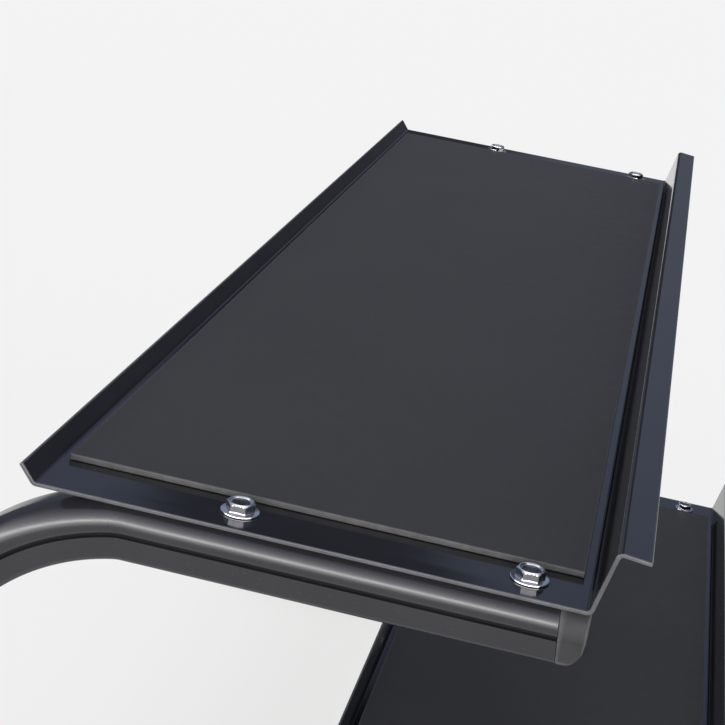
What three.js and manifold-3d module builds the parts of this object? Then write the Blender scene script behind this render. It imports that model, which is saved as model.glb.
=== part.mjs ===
// Two-tier dumbbell rack.
// Frame: X along the rack, front towards -Y, +Z up, millimetres.
// Origin: centre of the footprint, on the floor.
import * as THREE from 'three';
import { mergeVertices } from 'three/addons/utils/BufferGeometryUtils.js';
import Module from 'manifold-3d';

const wasm = await Module();
wasm.setup();

// ---------- driving dimensions ----------
const GAP = 0.3;              // clearance between touching pieces
const Y_BACK_CREASE = 229;    // y of the upper tray's back crease
const TRAY_L = 1562;          // tray length
const FLOOR_W = 393.5;        // tray floor, crease to crease
const BACK_LEAN = 10.4, BACK_H = 13.0;
const FRONT_LEAN = 10.3, FRONT_H = 46.9;
const LIP_W = 23.7, LIP_DROP = 2.5;
const SHEET = 3.0;            // tray sheet
const BEND_R = 4.0;           // centreline radius of the tray bends
const MAT_T = 4.7, MAT_W = 379.3, MAT_U = 7.0, MAT_INSET = 52.7;
const Z_TOP = 780, Z_LOW = 290;   // tray floor levels
const STEP_FWD = 180;         // lower tier stands this far in front
const END_IN = 30.8;          // side frame centre, from the tray end
const BOLT_U = [141.6, 349.6];
const TUBE_W = 50, TUBE_H = 44, TUBE_T = 2.5;
const SHOULDER_A = 18, SHOULDER_B = 24.5, FOOT_R = 4;
const ARM_FRONT = 378.4;        // front end of the arm's underside
const END_RAKE = 0.094;         // the arm's end leans back this much per mm of height
const BEND_U = 67, KINK_R = 30, KINK = 12, BEND_IN = 165;   // tight start of the bend, degrees, then the bend's inner radius
const CAP_FRONT = 396.3;        // front face of the end cap
const CAP_NOSE_U = 16, CAP_NOSE_Z = 20;
const RAIL_Z = 24, RAIL_REAR = -145, RAIL_FRONT = 520;
const PLUG_FLANGE = 4.5;
const RIB_U = 197, RIB_HALF = 715;
const CROSS_U = 145, CROSS_W = 50, CROSS_H = 30;
const CROSS_BOLT = 36;
const FOOT_U = [-105, 475];
const M12 = 12, M10 = 10;

const FRAME_X = TRAY_L / 2 - END_IN;
const RAIL_TOP = RAIL_Z + TUBE_H;

// ---------- finishes ----------
const coat = () => new THREE.MeshStandardMaterial({ color: 0x17181b, roughness: 0.28, metalness: 0.1 });
const coatTube = () => new THREE.MeshStandardMaterial({ color: 0x1b1b1e, roughness: 0.35, metalness: 0.1 });
const rubberMat = () => new THREE.MeshStandardMaterial({ color: 0x2f2f2f, roughness: 0.85, metalness: 0.0 });
const chrome = () => new THREE.MeshStandardMaterial({ color: 0xd4d6d8, roughness: 0.12, metalness: 1.0 });
const zinc = () => new THREE.MeshStandardMaterial({ color: 0xa9abad, roughness: 0.4, metalness: 1.0 });
const capGrey = () => new THREE.MeshStandardMaterial({ color: 0x4b4b4d, roughness: 0.6, metalness: 0.0 });
const footRubber = () => new THREE.MeshStandardMaterial({ color: 0x1c1c1c, roughness: 0.8, metalness: 0.0 });

// ---------- helpers ----------
const rack = new THREE.Group();
const Y = (u) => Y_BACK_CREASE - u;

function solid(geo) {
  const g = geo.index ? geo.clone() : mergeVertices(strip(geo));
  strip(g);
  const m = mergeVertices(g, 1e-4);
  return new wasm.Manifold(new wasm.Mesh({
    numProp: 3,
    vertProperties: new Float32Array(m.attributes.position.array),
    triVerts: new Uint32Array(m.index.array),
  }));
}
function strip(g) {
  for (const k of Object.keys(g.attributes)) if (k !== 'position') g.deleteAttribute(k);
  return g;
}
function geometry(man) {
  const m = man.getMesh();
  const g = new THREE.BufferGeometry();
  const n = m.vertProperties.length / m.numProp;
  const p = new Float32Array(n * 3);
  for (let i = 0; i < n; i++) for (let k = 0; k < 3; k++) p[3 * i + k] = m.vertProperties[i * m.numProp + k];
  g.setAttribute('position', new THREE.BufferAttribute(p, 3));
  g.setIndex(new THREE.BufferAttribute(new Uint32Array(m.triVerts), 1));
  g.computeVertexNormals();
  return g;
}
function add(name, geo, mat, pos = [0, 0, 0]) {
  const mesh = new THREE.Mesh(geo, mat);
  mesh.name = name;
  mesh.position.set(...pos);
  rack.add(mesh);
  return mesh;
}
function cyl(r, h, seg = 16) {          // along Z, from z = 0 to h
  const g = new THREE.CylinderGeometry(r, r, h, seg);
  g.rotateX(Math.PI / 2);
  g.translate(0, 0, h / 2);
  return solid(g);
}
function at(man, x, y, z) { return man.translate([x, y, z]); }

// lathe about Z; profile [[r, z], ...] starts and ends on the axis, or closes on itself
function turned(profile, seg = 20) {
  const g = new THREE.LatheGeometry(profile.map(([r, z]) => new THREE.Vector2(r, z)), seg);
  g.rotateX(Math.PI / 2);
  return solid(g);
}
function hex(af, h, r = 0) {            // hexagonal prism along Z
  const g = new THREE.CylinderGeometry(af / Math.sqrt(3), af / Math.sqrt(3), h, 6);
  g.rotateX(Math.PI / 2);
  g.rotateZ(r);
  g.translate(0, 0, h / 2);
  return solid(g);
}

// a path made of exact stations, so a straight run is one step
class Stations extends THREE.Curve {
  constructor(points, tangents) { super(); this.p = points; this.t = tangents; }
  getPointAt(u, target = new THREE.Vector3()) { return target.copy(this.p[Math.round(u * (this.p.length - 1))]); }
  getPoint(u, target) { return this.getPointAt(u, target); }
  getTangentAt(u, target = new THREE.Vector3()) { return target.copy(this.t[Math.round(u * (this.p.length - 1))]); }
  getTangent(u, target) { return this.getTangentAt(u, target); }
  getLength() { return 1; }
}

// arm tube section: square foot with small radii, big elliptical shoulders, narrow flat top.
// x across, y from 0 at the underside to TUBE_H at the top
function armSection(off, nTop = 7, nFoot = 3) {
  const w = TUBE_W / 2 - off, y0 = off, y1 = TUBE_H - off;
  const a = SHOULDER_A - off, b = SHOULDER_B - off, r = Math.max(FOOT_R - off, 0.8);
  const pts = [];
  for (let i = 0; i <= nFoot; i++) {    // lower right corner
    const t = -Math.PI / 2 + (i / nFoot) * Math.PI / 2;
    pts.push([w - r + r * Math.cos(t), y0 + r + r * Math.sin(t)]);
  }
  for (let i = 0; i <= nTop; i++) {     // right shoulder
    const t = (i / nTop) * Math.PI / 2;
    pts.push([w - a + a * Math.cos(t), y1 - b + b * Math.sin(t)]);
  }
  const left = pts.map(([x, y]) => [-x, y]).reverse();
  return [...pts, ...left];
}
// plain rectangular tube section with rounded corners, centred on x, y from 0 to h
function rectSection(w, h, r, off, n = 3) {
  const rr = Math.max(r - off, 0.6), hw = w / 2 - off, y0 = off, y1 = h - off;
  const pts = [];
  const corner = (cx, cy, a0) => {
    for (let i = 0; i <= n; i++) {
      const t = a0 + (i / n) * Math.PI / 2;
      pts.push([cx + rr * Math.cos(t), cy + rr * Math.sin(t)]);
    }
  };
  corner(hw - rr, y0 + rr, -Math.PI / 2);
  corner(hw - rr, y1 - rr, 0);
  corner(-hw + rr, y1 - rr, Math.PI / 2);
  corner(-hw + rr, y0 + rr, Math.PI);
  return pts;
}
function shapeOf(outer, inner) {
  const s = new THREE.Shape(outer.map(([x, y]) => new THREE.Vector2(x, y)));
  if (inner) s.holes.push(new THREE.Path([...inner].reverse().map(([x, y]) => new THREE.Vector2(x, y))));
  return s;
}
// sweep a section along stations that lie in a plane of constant x
function sweep(shape, points, tangents) {
  return solid(new THREE.ExtrudeGeometry(shape, {
    steps: points.length - 1, bevelEnabled: false, extrudePath: new Stations(points, tangents),
  }));
}
// section extruded along Y from y0 (front) to y1 (back); section y becomes Z
function alongY(shape, y0, y1) {
  const g = new THREE.ExtrudeGeometry(shape, { depth: y1 - y0, bevelEnabled: false });
  g.rotateX(Math.PI / 2);
  g.translate(0, y1, 0);
  return solid(g);
}
// a (y, z) outline extruded along X between x0 and x1
function alongX(points, x0, x1, holes = []) {
  const s = new THREE.Shape(points.map(([y, z]) => new THREE.Vector2(y, z)));
  for (const h of holes) s.holes.push(new THREE.Path(h.map(([y, z]) => new THREE.Vector2(y, z))));
  const g = new THREE.ExtrudeGeometry(s, { depth: x1 - x0, bevelEnabled: false });
  g.applyMatrix4(new THREE.Matrix4().set(0, 0, 1, x0, 1, 0, 0, 0, 0, 1, 0, 0, 0, 0, 0, 1));
  return solid(g);
}
// outline of a bent sheet from its upper-side polyline [(y, z)], thickness below it
function bentSheet(upper, t, r, n = 5) {
  const dir = [], len = [];
  for (let i = 0; i + 1 < upper.length; i++) {
    const d = [upper[i + 1][0] - upper[i][0], upper[i + 1][1] - upper[i][1]];
    const l = Math.hypot(...d); dir.push([d[0] / l, d[1] / l]); len.push(l);
  }
  const nrm = dir.map(([a, b]) => [b, -a]);       // right-hand side of travel
  const mid = [];                                  // mitred centreline
  for (let i = 0; i < upper.length; i++) {
    const a = nrm[Math.max(i - 1, 0)], b = nrm[Math.min(i, nrm.length - 1)];
    const c = 1 + a[0] * b[0] + a[1] * b[1];
    mid.push([upper[i][0] + (a[0] + b[0]) / c * t / 2, upper[i][1] + (a[1] + b[1]) / c * t / 2]);
  }
  const line = [];                                 // [y, z, ny, nz]
  line.push([...mid[0], ...nrm[0]]);
  for (let i = 1; i + 1 < mid.length; i++) {
    const d0 = dir[i - 1], d1 = dir[i];
    const cross = d0[0] * d1[1] - d0[1] * d1[0];
    const ang = Math.atan2(cross, d0[0] * d1[0] + d0[1] * d1[1]);
    const cut = r * Math.tan(Math.abs(ang) / 2);
    const s = [mid[i][0] - d0[0] * cut, mid[i][1] - d0[1] * cut];
    const side = Math.sign(ang);
    const c = [s[0] - nrm[i - 1][0] * side * r, s[1] - nrm[i - 1][1] * side * r];
    for (let k = 0; k <= n; k++) {
      const th = ang * k / n;
      const co = Math.cos(th), si = Math.sin(th), m = nrm[i - 1];
      const mm = [m[0] * co - m[1] * si, m[0] * si + m[1] * co];
      line.push([c[0] + mm[0] * side * r, c[1] + mm[1] * side * r, ...mm]);
    }
  }
  line.push([...mid[mid.length - 1], ...nrm[nrm.length - 1]]);
  const hi = line.map(([a, b, p, q]) => [a - p * t / 2, b - q * t / 2]);
  const lo = line.map(([a, b, p, q]) => [a + p * t / 2, b + q * t / 2]).reverse();
  const out = [...hi, ...lo];
  let area = 0;
  for (let i = 0; i < out.length; i++) { const p = out[i], q = out[(i + 1) % out.length]; area += p[0] * q[1] - q[0] * p[1]; }
  return area < 0 ? out.reverse() : out;
}

// ---------- pieces ----------
// arm tube: level arm, 90 degree bend, leg down to the foot rail
function armTube(tier, legBottom) {
  const zIn = tier.z - SHEET - GAP - TUBE_H;       // underside of the arm
  const build = () => {
    const pts = [], tan = [];
    const put = (u, z, ty, tz) => { pts.push(new THREE.Vector3(0, Y(u + tier.u), z)); tan.push(new THREE.Vector3(0, ty, tz)); };
    put(ARM_FRONT + 2, zIn, 1, 0);
    let u0 = BEND_U, z0 = zIn;
    const arc = (r, from, to, n) => {
      const a0 = from * Math.PI / 180;
      for (let i = from ? 1 : 0; i <= n; i++) {
        const a = a0 + (i / n) * (to - from) * Math.PI / 180;
        put(u0 + r * (Math.sin(a0) - Math.sin(a)), z0 - r * (Math.cos(a0) - Math.cos(a)), Math.cos(a), -Math.sin(a));
      }
      const a1 = to * Math.PI / 180;
      u0 += r * (Math.sin(a0) - Math.sin(a1)); z0 -= r * (Math.cos(a0) - Math.cos(a1));
    };
    arc(KINK_R, 0, KINK, 2);
    arc(BEND_IN, KINK, 90, 11);
    put(u0, legBottom, 0, -1);
    const lay = (sec) => sec.map(([a, b]) => [-b, -a]).reverse();   // the path's own axes: first -Z, second -X
    return sweep(shapeOf(lay(armSection(0)), lay(armSection(TUBE_T, 3, 1))), pts, tan);
  };
  let body = build();
  const rake = (h) => Y(ARM_FRONT - END_RAKE * h + tier.u);
  body = body.subtract(alongX(fixWinding([[rake(-5), zIn - 5], [rake(TUBE_H + 5), zIn + TUBE_H + 5], [rake(0) - 40, zIn + TUBE_H + 5], [rake(0) - 40, zIn - 5]]), -TUBE_W, TUBE_W));
  for (const u of BOLT_U) body = body.subtract(at(cyl(M12 / 2 + 0.5, 12), 0, Y(u + tier.u), tier.z - SHEET - 10));
  return body;
}
// moulded cap: tube section with a round nose at its lower front edge, and a spigot in the tube
function armCap(tier) {
  const z0 = tier.z - SHEET - GAP - TUBE_H;
  const back = (h) => Y(ARM_FRONT - END_RAKE * h + tier.u) - GAP;
  const yFront = Y(CAP_FRONT + tier.u), yBack = back(0);
  const outer = alongY(shapeOf(armSection(0, 9, 3)), yFront, yBack + 8).translate([0, 0, z0]);
  const prof = [[back(-1), -1], [back(TUBE_H + 1), TUBE_H + 1]];
  const rTop = 3;
  for (let i = 0; i <= 4; i++) { const a = Math.PI / 2 + (i / 4) * Math.PI / 2; prof.push([yFront + rTop + rTop * Math.cos(a), TUBE_H - rTop + rTop * Math.sin(a)]); }
  for (let i = 0; i <= 8; i++) { const a = Math.PI + (i / 8) * Math.PI / 2; prof.push([yFront + CAP_NOSE_U + CAP_NOSE_U * Math.cos(a), CAP_NOSE_Z + CAP_NOSE_Z * Math.sin(a)]); }
  prof.push([yFront + CAP_NOSE_U, -1]);
  const nose = prof.reverse().map(([a, b]) => [a, b + z0]);
  let body = outer.intersect(alongX(fixWinding(nose), -TUBE_W, TUBE_W));
  body = body.add(alongY(shapeOf(armSection(TUBE_T + 0.35, 3, 1)), yBack - 1, yBack + 15).translate([0, 0, z0]));
  return body;
}
function fixWinding(p) {
  let a = 0;
  for (let i = 0; i < p.length; i++) { const q = p[(i + 1) % p.length]; a += p[i][0] * q[1] - q[0] * p[i][1]; }
  return a < 0 ? [...p].reverse() : p;
}
function flangeBolt(d, flangeR, af, headH, shank) {
  const flange = turned([[0, 0], [flangeR - 0.4, 0], [flangeR, 0.5], [flangeR, 1.3], [af / 2 + 1.2, 2.1], [0, 2.1]], 20);
  const crown = turned([[0, 0.5], [af / 2 + 1.6, 0.5], [af / 2 + 1.6, headH - 1.6], [af / 2 - 0.6, headH], [0, headH]], 12);
  let head = flange.add(hex(af, headH, Math.PI / 6).intersect(crown));
  head = head.subtract(turned([[0, headH - 2.0], [af / 2 - 5, headH - 2.0], [af / 2 - 2.2, headH - 0.6], [af / 2 - 1.8, headH + 1], [0, headH + 1]], 12));
  return head.add(cyl(d / 2, shank + 1, 12).translate([0, 0, -shank]));
}
function hexNut(d, af, h) {
  return hex(af, h).subtract(cyl(d / 2 + GAP + 0.1, h + 2, 12).translate([0, 0, -1]));
}

const tiers = [
  { name: 'upper', z: Z_TOP, u: 0 },
  { name: 'lower', z: Z_LOW, u: STEP_FWD },
];
const sides = [{ name: 'left', x: -FRAME_X, s: -1 }, { name: 'right', x: FRAME_X, s: 1 }];

for (const t of tiers) {
  // tray
  const upper = [
    [Y(t.u - BACK_LEAN), t.z + BACK_H], [Y(t.u), t.z], [Y(t.u + FLOOR_W), t.z],
    [Y(t.u + FLOOR_W + FRONT_LEAN), t.z + FRONT_H], [Y(t.u + FLOOR_W + FRONT_LEAN + LIP_W), t.z + FRONT_H - LIP_DROP],
  ];
  const outline = bentSheet([...upper].reverse(), SHEET, BEND_R);
  let tray = alongX(outline, -TRAY_L / 2, TRAY_L / 2);
  for (const s of sides) for (const u of BOLT_U) tray = tray.subtract(at(cyl(M12 / 2 + 0.5, 12), s.x, Y(u + t.u), t.z - 8));
  add(`${t.name}_tray`, geometry(tray), coat());

  // rubber mat, lying on the tray floor
  const mat = new THREE.BoxGeometry(TRAY_L - 2 * MAT_INSET, MAT_W, MAT_T);
  add(`${t.name}_mat`, mat, rubberMat(), [0, Y(t.u + MAT_U + MAT_W / 2), t.z + GAP + MAT_T / 2]);

  // stiffening rib, a hat section welded under the tray floor
  const zr = t.z - SHEET - GAP, yr = Y(RIB_U + t.u);
  const hat = [[yr - 52, zr], [yr - 32, zr], [yr - 26, zr - 28], [yr + 26, zr - 28], [yr + 32, zr], [yr + 52, zr]];
  add(`${t.name}_tray_rib`, geometry(alongX(bentSheet(hat, 2, 3, 3), -RIB_HALF, RIB_HALF)), coatTube());

  for (const s of sides) {
    add(`${t.name}_arm_tube_${s.name}`, geometry(armTube(t, RAIL_TOP + GAP)), coatTube(), [s.x, 0, 0]);
    add(`${t.name}_arm_cap_${s.name}`, geometry(armCap(t)), capGrey(), [s.x, 0, 0]);
    BOLT_U.forEach((u, i) => {
      const where = i === 0 ? 'back' : 'front';
      add(`${t.name}_tray_bolt_${s.name}_${where}`, geometry(flangeBolt(M12, 14, 19, 8.4, 21)), chrome(), [s.x, Y(u + t.u), t.z + GAP]);
      add(`${t.name}_tray_nut_${s.name}_${where}`, geometry(hexNut(M12, 18, 10)), zinc(), [s.x, Y(u + t.u), t.z - SHEET - GAP - TUBE_T - 1.4 - 10]);
    });
  }
}

for (const s of sides) {
  // foot rail on the floor, carrying both legs
  let rail = alongY(shapeOf(rectSection(TUBE_W, TUBE_H, FOOT_R, 0), rectSection(TUBE_W, TUBE_H, FOOT_R, TUBE_T)), Y(RAIL_FRONT), Y(RAIL_REAR)).translate([0, 0, RAIL_Z]);
  for (const u of FOOT_U) rail = rail.subtract(at(cyl(M10 / 2 + 0.5, 8), 0, Y(u), RAIL_Z - 3));
  for (const d of [-CROSS_BOLT, CROSS_BOLT]) {
    const h = cyl(M10 / 2 + 0.5, 10).rotate([0, 90, 0]);
    rail = rail.subtract(h.translate([s.s < 0 ? TUBE_W / 2 - 5 : -TUBE_W / 2 - 5, Y(CROSS_U + d), RAIL_Z + TUBE_H / 2]));
  }
  add(`foot_rail_${s.name}`, geometry(rail), coatTube(), [s.x, 0, 0]);

  // push-in end caps of the foot rail
  for (const [where, yEnd, dir] of [['front', Y(RAIL_FRONT), -1], ['rear', Y(RAIL_REAR), 1]]) {
    const f0 = yEnd + dir * GAP, f1 = yEnd + dir * PLUG_FLANGE;
    const p0 = yEnd - dir * 16;
    let cap = alongY(shapeOf(rectSection(TUBE_W, TUBE_H, FOOT_R, 0)), Math.min(f0, f1), Math.max(f0, f1));
    const nose = [];
    const rn = 3, c = f1 - dir * rn;
    nose.push([f0 - dir * 1, -1], [f0 - dir * 1, TUBE_H + 1], [c, TUBE_H + 1]);
    for (let i = 0; i <= 4; i++) { const a = (i / 4) * Math.PI / 2; nose.push([c + dir * rn * Math.sin(a), TUBE_H - rn + rn * Math.cos(a)]); }
    for (let i = 0; i <= 4; i++) { const a = (i / 4) * Math.PI / 2; nose.push([c + dir * rn * Math.cos(a), rn - rn * Math.sin(a)]); }
    nose.push([c, -1]);
    cap = cap.intersect(alongX(fixWinding(nose), -TUBE_W, TUBE_W));
    cap = cap.add(alongY(shapeOf(rectSection(TUBE_W, TUBE_H, FOOT_R, TUBE_T + 0.35)), Math.min(p0, f0 + dir * 0.5), Math.max(p0, f0 + dir * 0.5)));
    add(`foot_cap_${s.name}_${where}`, geometry(cap.translate([0, 0, RAIL_Z])), capGrey(), [s.x, 0, 0]);
  }

  // levelling feet: rubber pad moulded on a threaded stud, lock nut below the rail, welded nut inside it
  FOOT_U.forEach((u, i) => {
    const where = i === 0 ? 'rear' : 'front';
    const foot = turned([[0, 0], [20.5, 0], [22, 1.5], [22, 5], [17, 9.5], [9, 11.5], [8, 12], [M10 / 2, 12], [M10 / 2, 54], [4, 55], [0, 55]], 16);
    add(`levelling_foot_${s.name}_${where}`, geometry(foot), footRubber(), [s.x, Y(u), 0]);
    add(`foot_lock_nut_${s.name}_${where}`, geometry(hexNut(M10, 16, 5.5)), zinc(), [s.x, Y(u), RAIL_Z - GAP - 5.5]);
    add(`foot_weld_nut_${s.name}_${where}`, geometry(hexNut(M10, 16, 8)), zinc(), [s.x, Y(u), RAIL_Z + TUBE_T + GAP]);
  });

  // welded end plate of the crossbar, its two bolts and the nuts inside the rail
  const inner = s.x - s.s * TUBE_W / 2;                    // inner face of the rail
  const x1 = inner - s.s * GAP, x0 = x1 - s.s * 4;
  const zp = RAIL_Z + TUBE_H / 2;
  const yc = Y(CROSS_U), ph = 17.5, pw = 49;
  let plate = alongX([[yc - pw, zp - ph], [yc + pw, zp - ph], [yc + pw, zp + ph], [yc - pw, zp + ph]], Math.min(x0, x1), Math.max(x0, x1));
  for (const d of [-CROSS_BOLT, CROSS_BOLT]) plate = plate.subtract(cyl(M10 / 2 + 0.5, 12).rotate([0, 90, 0]).translate([Math.min(x0, x1) - 4, Y(CROSS_U + d), zp]));
  add(`crossbar_plate_${s.name}`, geometry(plate), coatTube());
  [-CROSS_BOLT, CROSS_BOLT].forEach((d, i) => {
    const where = i === 0 ? 'rear' : 'front';
    const turn = s.s < 0 ? 90 : -90;                        // head faces the middle of the rack
    const bolt = flangeBolt(M10, 10.5, 14, 9, 20).rotate([0, turn, 0]);
    add(`crossbar_bolt_${s.name}_${where}`, geometry(bolt), zinc(), [x0 - s.s * GAP, Y(CROSS_U + d), zp]);
    const nut = hexNut(M10, 16, 8).rotate([0, 90, 0]);
    add(`crossbar_nut_${s.name}_${where}`, geometry(nut), zinc(), [inner + s.s * (TUBE_T + GAP) + (s.s < 0 ? -8 : 0), Y(CROSS_U + d), zp]);
  });
}

// base crossbar between the two foot rails
const barHalf = FRAME_X - TUBE_W / 2 - GAP - 4 - GAP;
const bar = (off) => rectSection(CROSS_W, CROSS_H, FOOT_R, off).map(([a, b]) => [a + Y(CROSS_U), b + RAIL_Z + (TUBE_H - CROSS_H) / 2]);
add('base_crossbar', geometry(alongX(bar(0), -barHalf, barHalf, [[...bar(TUBE_T)].reverse()])), coatTube());

export default rack;
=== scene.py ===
import math
import bpy
import bmesh
from mathutils import Matrix, Vector


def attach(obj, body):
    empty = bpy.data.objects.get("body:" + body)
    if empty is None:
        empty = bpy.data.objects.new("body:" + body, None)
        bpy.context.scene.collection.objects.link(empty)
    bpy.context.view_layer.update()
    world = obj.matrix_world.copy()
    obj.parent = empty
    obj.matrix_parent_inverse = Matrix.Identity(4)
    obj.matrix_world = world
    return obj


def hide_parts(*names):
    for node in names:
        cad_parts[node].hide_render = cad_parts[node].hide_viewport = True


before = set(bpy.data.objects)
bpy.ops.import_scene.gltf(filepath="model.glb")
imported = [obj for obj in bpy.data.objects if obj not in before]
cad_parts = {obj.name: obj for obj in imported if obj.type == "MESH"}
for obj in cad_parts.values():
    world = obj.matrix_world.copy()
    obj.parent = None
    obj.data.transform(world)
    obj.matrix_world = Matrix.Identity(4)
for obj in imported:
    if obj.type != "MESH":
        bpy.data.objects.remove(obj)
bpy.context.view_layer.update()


scene = bpy.context.scene
scene.view_settings.view_transform = "Standard"
MM = 0.001

# ---------------------------------------------------------------- dimensions (mm), as in the CAD
GAP = 0.3
Y0 = 229.0
TRAY_L, FLOOR_W = 1562.0, 393.5
BACK_LEAN, BACK_H = 10.4, 13.0
FRONT_LEAN, FRONT_H = 10.3, 46.9
LIP_W, LIP_DROP = 23.7, 2.5
SHEET, BEND_R = 3.0, 4.0
MAT_T, MAT_W, MAT_U, MAT_INSET = 4.7, 379.3, 7.0, 52.7
Z_TOP, Z_LOW, STEP_FWD = 780.0, 290.0, 180.0
END_IN = 30.8
BOLT_U = (141.6, 349.6)
TUBE_W, TUBE_H, TUBE_T = 50.0, 44.0, 2.5
SHOULDER_A, SHOULDER_B, FOOT_R = 18.0, 24.5, 4.0
ARM_FRONT, END_RAKE = 378.4, 0.094
BEND_U, KINK_R, KINK, BEND_IN = 67.0, 30.0, 12.0, 165.0
CAP_FRONT, NOSE_U, NOSE_Z = 396.3, 16.0, 20.0
RAIL_Z, RAIL_REAR, RAIL_FRONT = 24.0, -145.0, 520.0
PLUG_FLANGE = 4.5
RIB_U, RIB_HALF = 197.0, 715.0
CROSS_U, CROSS_W, CROSS_H, CROSS_BOLT = 145.0, 50.0, 30.0, 36.0
FOOT_U = (-105.0, 475.0)
FRAME_X = TRAY_L / 2 - END_IN
RAIL_TOP = RAIL_Z + TUBE_H
TIERS = (("upper", Z_TOP, 0.0), ("lower", Z_LOW, STEP_FWD))
SIDES = (("left", -1), ("right", 1))


def Y(u):
    return Y0 - u


# ---------------------------------------------------------------- materials
def new_mat(name):
    m = bpy.data.materials.new(name)
    m.use_nodes = True
    nt = m.node_tree
    b = nt.nodes["Principled BSDF"]
    return m, nt, b


def node(nt, kind, **kw):
    n = nt.nodes.new(kind)
    for k, v in kw.items():
        setattr(n, k, v)
    return n


def coords(nt, scale=(1, 1, 1)):
    tc = node(nt, "ShaderNodeTexCoord")
    mp = node(nt, "ShaderNodeMapping")
    mp.inputs["Scale"].default_value = scale
    nt.links.new(tc.outputs["Object"], mp.inputs["Vector"])
    return mp.outputs["Vector"]


def noise(nt, vec, scale, detail=2.0, rough=0.5, distort=0.0):
    n = node(nt, "ShaderNodeTexNoise")
    n.inputs["Scale"].default_value = scale
    n.inputs["Detail"].default_value = detail
    n.inputs["Roughness"].default_value = rough
    n.inputs["Distortion"].default_value = distort
    nt.links.new(vec, n.inputs["Vector"])
    return n.outputs["Fac"]


def remap(nt, fac, a, b, lo, hi):
    n = node(nt, "ShaderNodeMapRange")
    n.inputs["From Min"].default_value = a
    n.inputs["From Max"].default_value = b
    n.inputs["To Min"].default_value = lo
    n.inputs["To Max"].default_value = hi
    nt.links.new(fac, n.inputs["Value"])
    return n.outputs["Result"]


def ramp(nt, fac, stops):
    n = node(nt, "ShaderNodeValToRGB")
    els = n.color_ramp.elements
    while len(els) < len(stops):
        els.new(0.5)
    for e, (p, c) in zip(els, stops):
        e.position = p
        e.color = (*c, 1)
    nt.links.new(fac, n.inputs["Fac"])
    return n.outputs["Color"]


def bump(nt, height, strength, distance, prev=None):
    n = node(nt, "ShaderNodeBump")
    n.inputs["Strength"].default_value = strength
    n.inputs["Distance"].default_value = distance
    nt.links.new(height, n.inputs["Height"])
    if prev is not None:
        nt.links.new(prev, n.inputs["Normal"])
    return n.outputs["Normal"]


def edge_mask(nt, v, scale, lo, hi):
    """Corner mask broken up by noise."""
    at = node(nt, "ShaderNodeAttribute", attribute_name="edge")
    m = node(nt, "ShaderNodeMath", operation="MULTIPLY")
    nt.links.new(at.outputs["Fac"], m.inputs[0])
    nt.links.new(remap(nt, noise(nt, v, scale, 4.0, 0.6), 0.35, 0.65, lo, hi), m.inputs[1])
    return m.outputs[0]


def blend(nt, fac, a, b):
    """Colour a, with b laid over by fac."""
    m = node(nt, "ShaderNodeMix", data_type="RGBA")
    nt.links.new(fac, m.inputs["Factor"])
    nt.links.new(a, m.inputs["A"])
    if isinstance(b, tuple):
        m.inputs["B"].default_value = (*b, 1)
    else:
        nt.links.new(b, m.inputs["B"])
    return m.outputs["Result"]


def total(nt, *parts):
    out = parts[0]
    for p in parts[1:]:
        m = node(nt, "ShaderNodeMath", operation="ADD")
        nt.links.new(out, m.inputs[0])
        nt.links.new(p, m.inputs[1])
        out = m.outputs[0]
    return out


def powder(name, dark, light, r_lo, r_hi, peel, edge_wear_and_highlight, wear_and_highlight_strength):
    """Black powder coat: orange peel 1.5 mm across, faint clouds, dust specks, and paler corners for thin coat there
    plus a painted edge highlight.
    """
    m, nt, b = new_mat(name)
    v = coords(nt)
    col = ramp(nt, noise(nt, v, 14.0, 3.0), [(0.3, dark), (0.7, light)])
    dust = remap(nt, noise(nt, v, 900.0, 1.0), 0.735, 0.80, 0.0, 0.30)
    col = blend(nt, dust, col, (0.16, 0.155, 0.15))
    # paler, rougher corners: thin coat and wear there, and a painted edge highlight
    mask = edge_mask(nt, v, 60.0, wear_and_highlight_strength * 0.7, wear_and_highlight_strength)
    col = blend(nt, mask, col, edge_wear_and_highlight)
    nt.links.new(col, b.inputs["Base Color"])
    rough = total(nt, remap(nt, noise(nt, v, 38.0, 4.0, 0.6), 0.3, 0.7, r_lo, r_hi), remap(nt, noise(nt, v, 2600.0, 1.0), 0.62, 0.8, 0.0, 0.10),
                  remap(nt, mask, 0.0, 1.0, 0.0, 0.12))
    nt.links.new(rough, b.inputs["Roughness"])
    n1 = bump(nt, noise(nt, v, 620.0, 1.5, 0.45), peel, 0.00006)
    n2 = bump(nt, noise(nt, v, 60.0, 1.0, 0.4), peel * 0.5, 0.00012, n1)
    nt.links.new(n2, b.inputs["Normal"])
    b.inputs["IOR"].default_value = 1.5
    return m


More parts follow.
